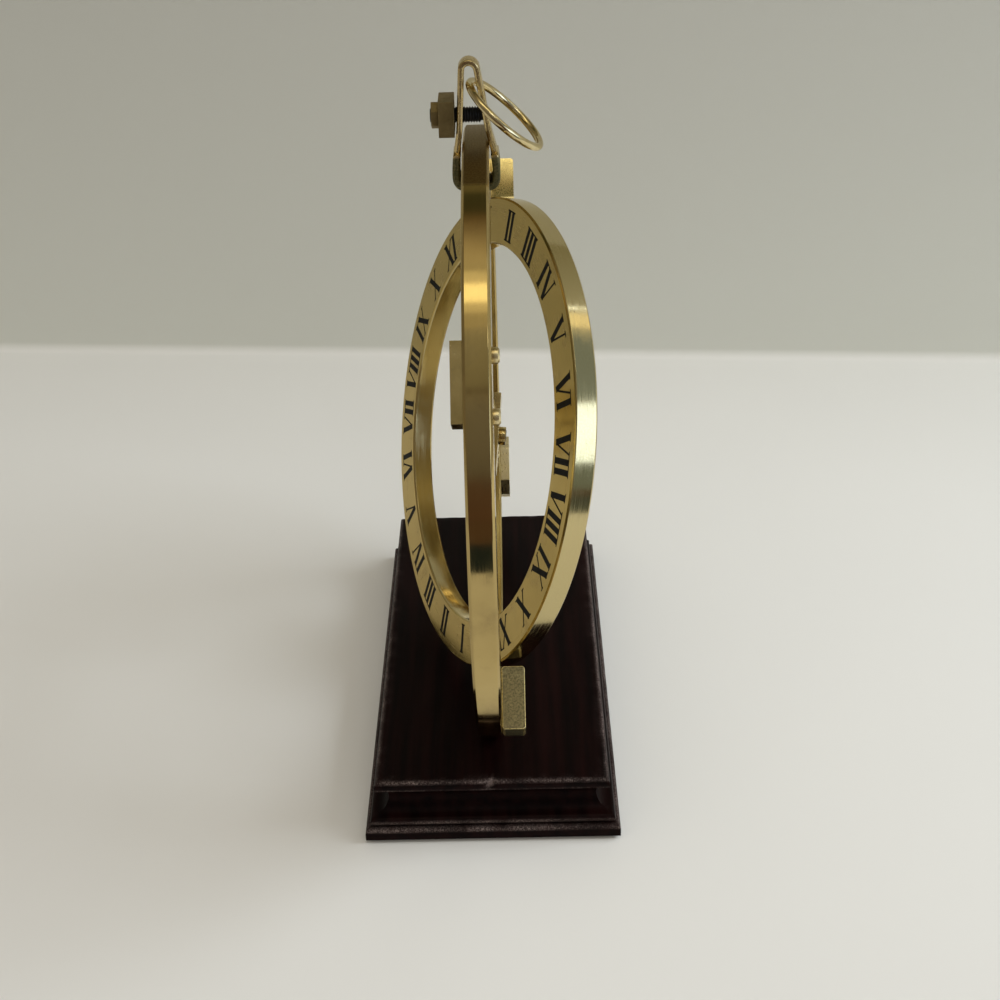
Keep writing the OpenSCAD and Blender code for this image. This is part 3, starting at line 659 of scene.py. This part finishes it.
def makeBase(spec, wear, chip):
    profile, slabZ, top = baseProfile(spec)
    halfX, halfY, felt = spec["halfWidth"], spec["halfLength"], spec["felt"]

    def band(z, datum, place):
        rise, reach, most = place
        return max(0.0, most - abs(z - (datum + rise)) / reach)

    def chipAt(x, z):
        across = x - chip["at"] - chip["slant"] * (z - (top + chip["band"][0]))
        return math.exp(-(across / chip["wide"]) ** 2) * band(z, top, chip["band"])

    def dented(x, y, z):
        # worn arrises sink a little, most at the corners
        arris = max(band(z, top, wear["topDent"]), band(z, felt, wear["plinthDent"]),
                    band(z, slabZ, wear["slabDent"]))
        fromCorner = min(abs(abs(x) - halfX) + abs(abs(y) - halfY), wear["cornerFar"])
        corner = math.exp(-fromCorner / wear["cornerReach"])
        dent = max(0.0, noise.noise(Vector((x, y, z)) * wear["dentScale"]) + wear["dentMore"])
        amount = dent * wear["dent"] + corner * wear["cornerDent"]
        inward = Vector((math.copysign(1, x) if abs(x) > halfX - wear["sideBand"] else 0,
                         math.copysign(1, y) if abs(y) > halfY - wear["sideBand"] else 0, wear["dentDown"]))
        return inward * amount * arris

    points = []
    for off, z in profile:
        for x, y in rectangle(halfX, halfY, spec["step"], off):
            p = Vector((x, y, z))
            if off > wear["dentsFrom"]:
                p -= dented(x, y, z)
            # the chip in the middle of the front edge
            if y < 0 and off > chip["from"]:
                p += Vector((0, 1, chip["down"])) * chip["deep"] * chipAt(x, z)
            points.append(p)
    base = meshPiece("baseBlock", points, skin(len(profile), len(points) // len(profile)))
    tidyNormals(base)
    across = ringPlace @ turned(90, "Y")
    slotHalf = spec["slotHalf"]
    cutBy(base, rod("slotCutter", across, -slotHalf, slotHalf, spec["slotRadius"], spec["slotSteps"]))
    smooth(base, spec["crease"])

    # where the edges are rubbed pale, which partly paints the highlights of the wood's gloss
    def rubbedSheen(p):
        off = max(abs(p.x) - halfX, abs(p.y) - halfY)
        edge = band(p.z, top, wear["topRubSheen"]) if off > wear["topRubSheenFrom"] else 0.0
        ridge = band(p.z, slabZ, wear["slabRubSheen"]) if off > wear["slabRubSheenFrom"] else 0.0
        low = max(band(p.z, felt, wear["plinthRubSheen"]), band(p.z, felt, wear["beadRubSheen"]))
        return min(1.0, max(edge, ridge, low if off > wear["lowRubSheenFrom"] else 0.0))

    def bare(p):
        inFront = p.y < chip["bareWithin"] - halfY
        return clip(chip["bareGain"] * chipAt(p.x, p.z) - chip["bareLess"]) if inFront else 0.0

    # the wear attribute carries real wear and painted highlights together
    mark(base, "wear", rubbedSheen)
    mark(base, "bare", bare)
    dress(base, "stand", "mahogany", "base_block")


makeBase(baseBlock, baseWearAndSheen, chip)

# felt under the plinth, with a slightly rough cut edge
feltPad = {"halfWidth": 23.7, "halfLength": 49.7, "thick": 0.6, "step": 1.3, "rough": 0.12,
           "ease": 0.1, "under": 0.12, "seed": 4, "crease": 50}


def makeFelt(spec):
    random.seed(spec["seed"])
    outline = rectangle(spec["halfWidth"], spec["halfLength"], spec["step"])
    jitter = [random.uniform(-spec["rough"], 0) for _ in outline]
    ease, thick = spec["ease"], spec["thick"]
    rows = ((0.0, spec["under"]), (ease, 0.0), (thick - ease, 0.0), (thick, ease))
    points = []
    for z, inset in rows:
        for (x, y), shift in zip(outline, jitter):
            k = 1 + (shift - inset) / max(abs(x), abs(y))
            points.append(Vector((x * k, y * k, z)))
    felt = meshPiece("feltPad", points, skin(len(rows), len(outline)))
    tidyNormals(felt)
    smooth(felt, spec["crease"])
    dress(felt, "stand", "felt", "base_felt")


makeFelt(feltPad)
print("base made")

# the hairpin clasp: a strip bent along a smooth line, with wider dull feet hooked into the groove
claspStrip = {"half": 0.575, "footHalf": 0.72, "width": 3.5, "footWidth": 6.0, "footFrom": 60.6,
              "footRamp": 0.25, "lean": -0.8, "leanFrom": 60.3, "leanTo": 75.8, "round": 0.42,
              "roundSteps": 5, "steps": 6, "crease": 45, "dullBelow": 0.25, "dullFade": 0.3,
              "line": [(0.0, 77.225), (0.71, 77.03), (1.23, 76.51), (1.425, 75.8), (1.74, 73.0), (2.08, 70.0),
                       (2.375, 67.4), (2.68, 64.8), (3.08, 62.6), (3.37, 61.2), (3.52, 60.3), (3.7, 58.5),
                       (3.77, 56.8), (3.68, 55.6), (3.25, 54.8), (2.75, 54.5), (2.25, 54.4)]}


def curve(points, steps):
    # a smooth line through the points
    made = []
    ends = [points[0] * 2 - points[1]] + points + [points[-1] * 2 - points[-2]]
    for i in range(1, len(ends) - 2):
        a, b, c, d = ends[i - 1:i + 3]
        for k in range(steps):
            t = k / steps
            square = (2 * a - 5 * b + 4 * c - d) * t * t
            cube = (3 * b - a - 3 * c + d) * t ** 3
            made.append(0.5 * (2 * b + (c - a) * t + square + cube))
    made.append(points[-1])
    return made


def makeClasp(spec):
    right = [Vector(p) for p in spec["line"]]
    line = curve([Vector((-p.x, p.y)) for p in reversed(right[1:])] + right, spec["steps"])
    points = []
    for i, p in enumerate(line):
        ahead = (line[min(i + 1, len(line) - 1)] - line[max(i - 1, 0)]).normalized()
        side = Vector((ahead.y, -ahead.x))
        foot = clip((spec["footFrom"] - p.y) / spec["footRamp"] + 0.5)
        half = (spec["width"] + (spec["footWidth"] - spec["width"]) * foot) / 2
        thick = spec["half"] + (spec["footHalf"] - spec["half"]) * foot
        shift = spec["lean"] * max(0.0, p.y - spec["leanFrom"]) / (spec["leanTo"] - spec["leanFrom"])
        corners = [(-thick, -half), (thick, -half), (thick, half), (-thick, half)]
        for u, y in roundCorners(corners, spec["round"], spec["roundSteps"]):
            q = p + side * u
            points.append(claspPlace @ Vector((q.x + shift, y, q.y)))
    clasp = meshPiece("clasp", points, skin(len(line), len(points) // len(line)))
    tidyNormals(clasp)
    smooth(clasp, spec["crease"])
    dullTop = dial["centre"] + spec["footFrom"] - spec["dullBelow"]
    mark(clasp, "dull", lambda p: clip((dullTop - p.z) / spec["dullFade"]))
    dress(clasp, "clasp", "claspBrass", "clasp")


makeClasp(claspStrip)

# the clamp screw with its cut thread
clampScrew = {"height": 67.4, "from": -8.25, "to": 1.087, "end": 2.58, "radius": 1.5, "root": 1.2,
              "pitch": 0.5, "around": 24, "each": 8, "rivet": 1.1, "tip": 0.4, "tipSlope": 0.8, "crease": 40}


def makeClampScrew(spec):
    start, length = spec["from"], spec["to"] - spec["from"]
    rows = int(length / spec["pitch"] * spec["each"])
    # places along the screw, each with a plain radius or none where the thread is
    shape = [(start + length * k / rows, None) for k in range(rows + 1)]
    shape += [(spec["to"], spec["rivet"]), (spec["end"], spec["rivet"])]
    points = []
    for x, fixed in shape:
        for i, (cosine, sine) in enumerate(circle(spec["around"])):
            wave = abs(((x / spec["pitch"] - i / spec["around"]) % 1.0) * 2 - 1)
            r = fixed or spec["root"] + (spec["radius"] - spec["root"]) * wave
            if x < start + spec["tip"]:
                r = min(r, spec["root"] + (x - start) * spec["tipSlope"])
            points.append(claspPlace @ Vector((x, r * cosine, spec["height"] + r * sine)))
    screw = meshPiece("clampScrew", points, skin(len(shape), spec["around"]))
    tidyNormals(screw)
    smooth(screw, spec["crease"])
    dress(screw, "clasp", "blackSteel", "clamp_screw")


makeClampScrew(clampScrew)

# the wire ring in the clasp's eye
suspensionRing = {"height": 73.0, "shift": -0.7725, "radius": 8.5, "wire": 0.75, "drop": 42.0, "steps": 192,
                  "sides": 28, "crease": 60}


def makeSuspensionRing(spec):
    place = claspPlace @ Matrix.Translation((spec["shift"], 0, spec["height"]))
    place = place @ turned(spec["drop"], "Y") @ Matrix.Translation((spec["radius"], 0, 0)) @ turned(-90, "Y")
    loop = [(spec["radius"] + spec["wire"] * c, spec["wire"] * s) for c, s in circle(spec["sides"])]
    ring = lathe("suspensionRing", loop, place, spec["steps"], spec["radius"])
    smooth(ring, spec["crease"])
    dress(ring, "loop", "wireBrass", "suspension_ring")


makeSuspensionRing(suspensionRing)
print("clasp made")

# fittings keep their built shape and get eased edges: body, finish, width of the easing
fittings = {
    "stop_block_upper": ("stand", "blockBrass", 0.12),
    "stop_block_lower": ("stand", "blockBrass", 0.12),
    "stop_screw_upper": ("stand", "fittingBrass", 0.08),
    "stop_screw_lower": ("stand", "fittingBrass", 0.08),
    "keeper_front": ("stand", "fittingBrass", 0.7),
    "keeper_rear": ("stand", "paleBrass", 0.7),
    "keeper_bolt_front_upper": ("stand", "paleBrass", 0.06),
    "keeper_bolt_front_lower": ("stand", "paleBrass", 0.06),
    "keeper_bolt_rear_upper": ("stand", "paleBrass", 0.06),
    "keeper_bolt_rear_lower": ("stand", "paleBrass", 0.06),
    "hour_pivot_upper": ("stand", "fittingBrass", 0.05),
    "hour_pivot_lower": ("stand", "fittingBrass", 0.05),
    "bridge": ("bridge", "paleBrass", 0.15),
    "cursor_plate": ("cursor", "fittingBrass", 0.12),
    "cursor_back": ("cursor", "fittingBrass", 0.12),
    "cursor_screw": ("cursor", "blackSteel", 0.08),
    "cursor_nut": ("cursor", "fittingBrass", 0.1),
    "clamp_nut": ("nut", "nutBrass", 0.16),
    "clamp_locknut": ("nut", "nutBrass", 0.14),
    "fix_screw_front": ("stand", "steel", 0.08),
    "fix_screw_rear": ("stand", "steel", 0.08),
}
easing = {"weld": 0.002, "flat": 0.2, "sharp": 32, "crease": 34, "wide": 0.3, "dullArea": 2}


def easedCopy(node, body, finish, width, spec):
    words = node.split("_")
    name = words[0] + "".join(w.capitalize() for w in words[1:])
    bm = bmesh.new()
    bm.from_mesh(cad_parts[node].data)
    bmesh.ops.remove_doubles(bm, verts=bm.verts, dist=spec["weld"] * mm)
    bmesh.ops.dissolve_limit(bm, angle_limit=math.radians(spec["flat"]), verts=bm.verts, edges=bm.edges)
    least = math.radians(spec["sharp"])
    sharp = [e for e in bm.edges if len(e.link_faces) == 2 and e.calc_face_angle(0) > least]
    segments, profile = (2, 0.6) if width < spec["wide"] else (5, 0.5)
    bmesh.ops.bevel(bm, geom=sharp, offset=width * mm, segments=segments, profile=profile, affect="EDGES",
                    clamp_overlap=True)
    mesh = bpy.data.meshes.new(name)
    bm.to_mesh(mesh)
    bm.free()
    piece = addObject(name, mesh)
    smooth(piece, spec["crease"])
    if node == "stop_block_lower":
        # its large faces are stippled
        markFaces(piece, "dull", lambda f: 1.0 if f.area > spec["dullArea"] * mm * mm else 0.0)
    dress(piece, body, finish, node)


for node, (body, finish, width) in fittings.items():
    easedCopy(node, body, finish, width, easing)
print("fittings eased:", len(fittings))

# plain floor that turns up into a wall, with painted shade that darkens the wall towards its top. The
# studio's sizes are in metres.
studio = {"wallAt": 0.1706, "wallSlope": -0.0736, "wallHigh": 0.25, "bend": 0.003, "reach": 3.0,
          "flatTo": 0.3, "floor": (0.76, 0.755, 0.72), "wall": (0.66, 0.675, 0.625),
          "wallTopShade": (0.50, 0.505, 0.47), "mottle": 0.025, "mottleScale": (9, 9, 9),
          "bendFrom": 0.0005, "wallShadeSpan": (0.0, 0.16), "rough": 0.85, "specular": 0.1, "beyondDrop": 0.0005}


def backdropMaterial(spec):
    mat, tree, bsdf = newMaterial("backdrop")
    where = placeOn(tree)
    height = add(tree, "ShaderNodeSeparateXYZ", {0: where}).outputs[2]
    cloud = noiseOf(tree, where, spec["mottleScale"], detail=2.0)
    darker, paler = ([c * level for c in spec["floor"]] for level in (1 - spec["mottle"], 1 + spec["mottle"]))
    # painted shade: the wall is paler at its foot and darker higher up
    shadedWall = mixed(tree, spread(tree, height, spec["wallShadeSpan"]), spec["wall"], spec["wallTopShade"])
    pale = mixed(tree, cloud, darker, paler)
    upright = spread(tree, height, (spec["bendFrom"], spec["bend"]))
    tree.links.new(mixed(tree, upright, pale, shadedWall), bsdf.inputs["Base Color"])
    bsdf.inputs["Roughness"].default_value = spec["rough"]
    bsdf.inputs["Specular IOR Level"].default_value = spec["specular"]
    # seen from behind, the wall is clear
    clear = add(tree, "ShaderNodeBsdfTransparent")
    back = add(tree, "ShaderNodeNewGeometry").outputs["Backfacing"]
    blend = add(tree, "ShaderNodeMixShader", {0: back, 1: bsdf.outputs[0], 2: clear.outputs[0]})
    tree.links.new(blend.outputs[0], tree.nodes["Material Output"].inputs[0])
    return mat


def stagePiece(name, points, faces, material):
    mesh = bpy.data.meshes.new(name)
    mesh.from_pydata(points, [], faces)
    mesh.materials.append(material)
    piece = addObject(name, mesh)
    return piece


def makeStudio(spec):
    reach, drop = spec["reach"], spec["beyondDrop"]
    line = [(-reach, 0.0), (-spec["flatTo"], 0.0)]
    line += [(x, spec["bend"] + z) for x, z in arcPoints(-spec["bend"], 0.0, spec["bend"], -90, 0, 9)]
    line += [(0.0, spec["wallHigh"])]
    points = [(x, spec["wallAt"] + spec["wallSlope"] * x + y, z) for y, z in line for x in (-reach, reach)]
    faces = [(2 * i, 2 * i + 1, 2 * i + 3, 2 * i + 2) for i in range(len(line) - 1)]
    material = backdropMaterial(spec)
    backdrop = stagePiece("backdrop", points, faces, material).data
    backdrop.polygons.foreach_set("use_smooth", [True] * len(faces))
    # a floor just below, for views from behind the wall
    corners = [(-reach, -reach, -drop), (reach, -reach, -drop), (reach, reach, -drop), (-reach, reach, -drop)]
    stagePiece("floorBeyond", corners, [(0, 1, 2, 3)], material)


makeStudio(studio)

# soft lamps, which the metal doesn't reflect
lamps = {
    "overhead": {"at": (0.05, -0.10, 0.75), "to": (0, 0, 0.06), "size": (0.5, 0.5), "power": 0.9,
                 "tint": (1.0, 0.97, 0.91)},
    "rightWindow": {"at": (0.75, 0.02, 0.6), "to": (0, 0, 0.06), "size": (0.55, 0.55), "power": 5.4,
                    "tint": (0.92, 1.0, 1.09)},
    "frontFill": {"at": (0.25, -0.9, 0.7), "to": (0, 0, 0.06), "size": (0.7, 0.5), "power": 1.2,
                  "tint": (0.99, 0.99, 1.0)},
}


def makeLamp(name, lamp):
    data = bpy.data.lights.new(name, "AREA")
    data.shape = "RECTANGLE"
    data.size, data.size_y = lamp["size"]
    data.energy, data.color = lamp["power"], lamp["tint"]
    light = addObject(name, data)
    spot = Vector(lamp["at"])
    aim = (Vector(lamp["to"]) - spot).to_track_quat("-Z", "Y")
    light.matrix_world = Matrix.Translation(spot) @ aim.to_matrix().to_4x4()
    light.visible_glossy = False


for name, lamp in lamps.items():
    makeLamp(name, lamp)

# cards that only the metal sees, each with its tone: they glow without lighting anything and paint the
# metal's reflections, the bright ones its highlights and the dark ones its dark reflections
cards = {
    "overheadCard": {"tone": (2.2, 2.0, 1.35), "corners": [
        (-0.3, -0.20, 0.74), (0.3, -0.20, 0.74), (0.3, -0.115, 0.74), (-0.3, -0.115, 0.74)]},
    "overheadGlow": {"tone": (0.95, 0.85, 0.58), "corners": [
        (-0.3, -0.25, 0.745), (0.3, -0.25, 0.745), (0.3, -0.06, 0.745), (-0.3, -0.06, 0.745)]},
    "overheadEdge": {"tone": (0.55, 0.49, 0.34), "corners": [
        (-0.3, -0.33, 0.75), (0.3, -0.33, 0.75), (0.3, -0.03, 0.75), (-0.3, -0.03, 0.75)]},
    "windowLine": {"tone": (2.4, 2.6, 3.0), "corners": [
        (0.48, 0.114, 0.50), (0.48, 0.134, 0.50), (0.48, 0.134, 0.80), (0.48, 0.114, 0.80)]},
    "windowGlow": {"tone": (1.35, 1.2, 0.85), "corners": [
        (0.48, 0.0, 0.50), (0.48, 0.09, 0.50), (0.48, 0.09, 0.80), (0.48, 0.0, 0.80)]},
    "keyCard": {"tone": (4.5, 4.5, 4.6), "corners": [
        (0.08, -0.44, 0.80), (0.34, -0.44, 0.80), (0.34, -0.22, 0.84), (0.08, -0.22, 0.84)]},
    "sideWindow": {"tone": (2.0, 2.4, 3.2), "corners": [
        (0.62, -0.90, 0.20), (1.0, -0.25, 0.20), (1.0, -0.25, 0.62), (0.62, -0.90, 0.62)]},
    "sideWall": {"tone": (0.25, 0.295, 0.32), "corners": [
        (0.62, -0.90, 0.62), (1.05, -0.06, 0.62), (1.05, -0.06, 1.4), (0.62, -0.90, 1.05)]},
    "sideLow": {"tone": (0.18, 0.215, 0.21), "corners": [
        (0.62, -0.90, 0.0), (1.0, -0.25, 0.0), (1.0, -0.25, 0.20), (0.62, -0.90, 0.20)]},
    "darkStrip": {"tone": (0.020, 0.030, 0.036), "corners": [
        (-0.06, -0.50, 0.001), (0.05, -0.50, 0.001), (0.04, -0.25, 0.001), (-0.06, -0.25, 0.001)]},
    "darkRight": {"tone": (0.075, 0.09, 0.085), "corners": [
        (0.24, -0.50, 0.001), (0.7, -0.50, 0.001), (0.5, -0.25, 0.001), (0.2, -0.25, 0.001)]},
    "brownStrip": {"tone": (0.11, 0.068, 0.045), "corners": [
        (-2, -3, 0.001), (0.7, -3, 0.001), (0.7, -0.50, 0.001), (-2, -0.50, 0.001)]},
}


def cardMaterial(name, tone):
    mat = bpy.data.materials.new(name)
    mat.use_nodes = True
    tree = mat.node_tree
    tree.nodes.clear()
    shine = add(tree, "ShaderNodeEmission", {"Color": colour(tone), "Strength": 1.0})
    add(tree, "ShaderNodeOutputMaterial", {0: shine.outputs[0]})
    return mat


for name, spec in cards.items():
    card = stagePiece(name, spec["corners"], [(0, 1, 2, 3)], cardMaterial(name, spec["tone"]))
    card.visible_camera = card.visible_diffuse = card.visible_transmission = card.visible_shadow = False

# an even world for light, and a room of bands for the metal to reflect, from the floor's level up
room = {
    "light": (0.435, 0.395, 0.335), "left": (0.22, 0.19, 0.14), "right": (0.56, 0.56, 0.50),
    "halves": (-0.1, 0.1), "sides": (0.3, 0.75),
    "front": [
        (0.40, (0.08, 0.045, 0.03)), (0.50, (0.125, 0.072, 0.05)), (0.60, (0.13, 0.085, 0.065)),
        (0.64, (0.17, 0.155, 0.14)), (0.80, (0.215, 0.20, 0.18)), (0.835, (0.25, 0.225, 0.18)),
        (0.845, (0.15, 0.125, 0.09)), (0.86, (0.27, 0.25, 0.19)), (0.94, (0.34, 0.32, 0.25)),
        (1.0, (0.62, 0.56, 0.40))],
    "back": [
        (0.5, (0.36, 0.36, 0.31)), (0.66, (0.26, 0.24, 0.18)), (0.80, (0.22, 0.20, 0.12)),
        (0.907, (0.17, 0.15, 0.08)), (0.92, (0.06, 0.06, 0.03)), (0.955, (0.065, 0.06, 0.03)),
        (0.968, (0.17, 0.12, 0.06)), (0.985, (0.33, 0.27, 0.18)), (1.0, (0.60, 0.52, 0.36))],
}


def makeWorld(spec):
    world = bpy.data.worlds.new("studio")
    scene.world = world
    world.use_nodes = True
    sky = world.node_tree
    axes = add(sky, "ShaderNodeSeparateXYZ", {0: placeOn(sky, "Generated")}).outputs
    level = spread(sky, axes[2], (-1, 1))
    facing = mixed(sky, spread(sky, axes[1], spec["halves"]), ramp(sky, level, spec["front"]),
                   ramp(sky, level, spec["back"]))
    sideTone = mixed(sky, spread(sky, axes[0], spec["halves"]), spec["left"], spec["right"])
    sides = add(sky, "ShaderNodeMath", {0: axes[0]}, operation="ABSOLUTE").outputs[0]
    seen = mixed(sky, spread(sky, sides, spec["sides"]), facing, sideTone)
    glossy = add(sky, "ShaderNodeLightPath").outputs["Is Glossy Ray"]
    background = sky.nodes["Background"]
    sky.links.new(mixed(sky, glossy, spec["light"], seen), background.inputs["Color"])
    background.inputs["Strength"].default_value = 1.0


makeWorld(room)
print("studio made")
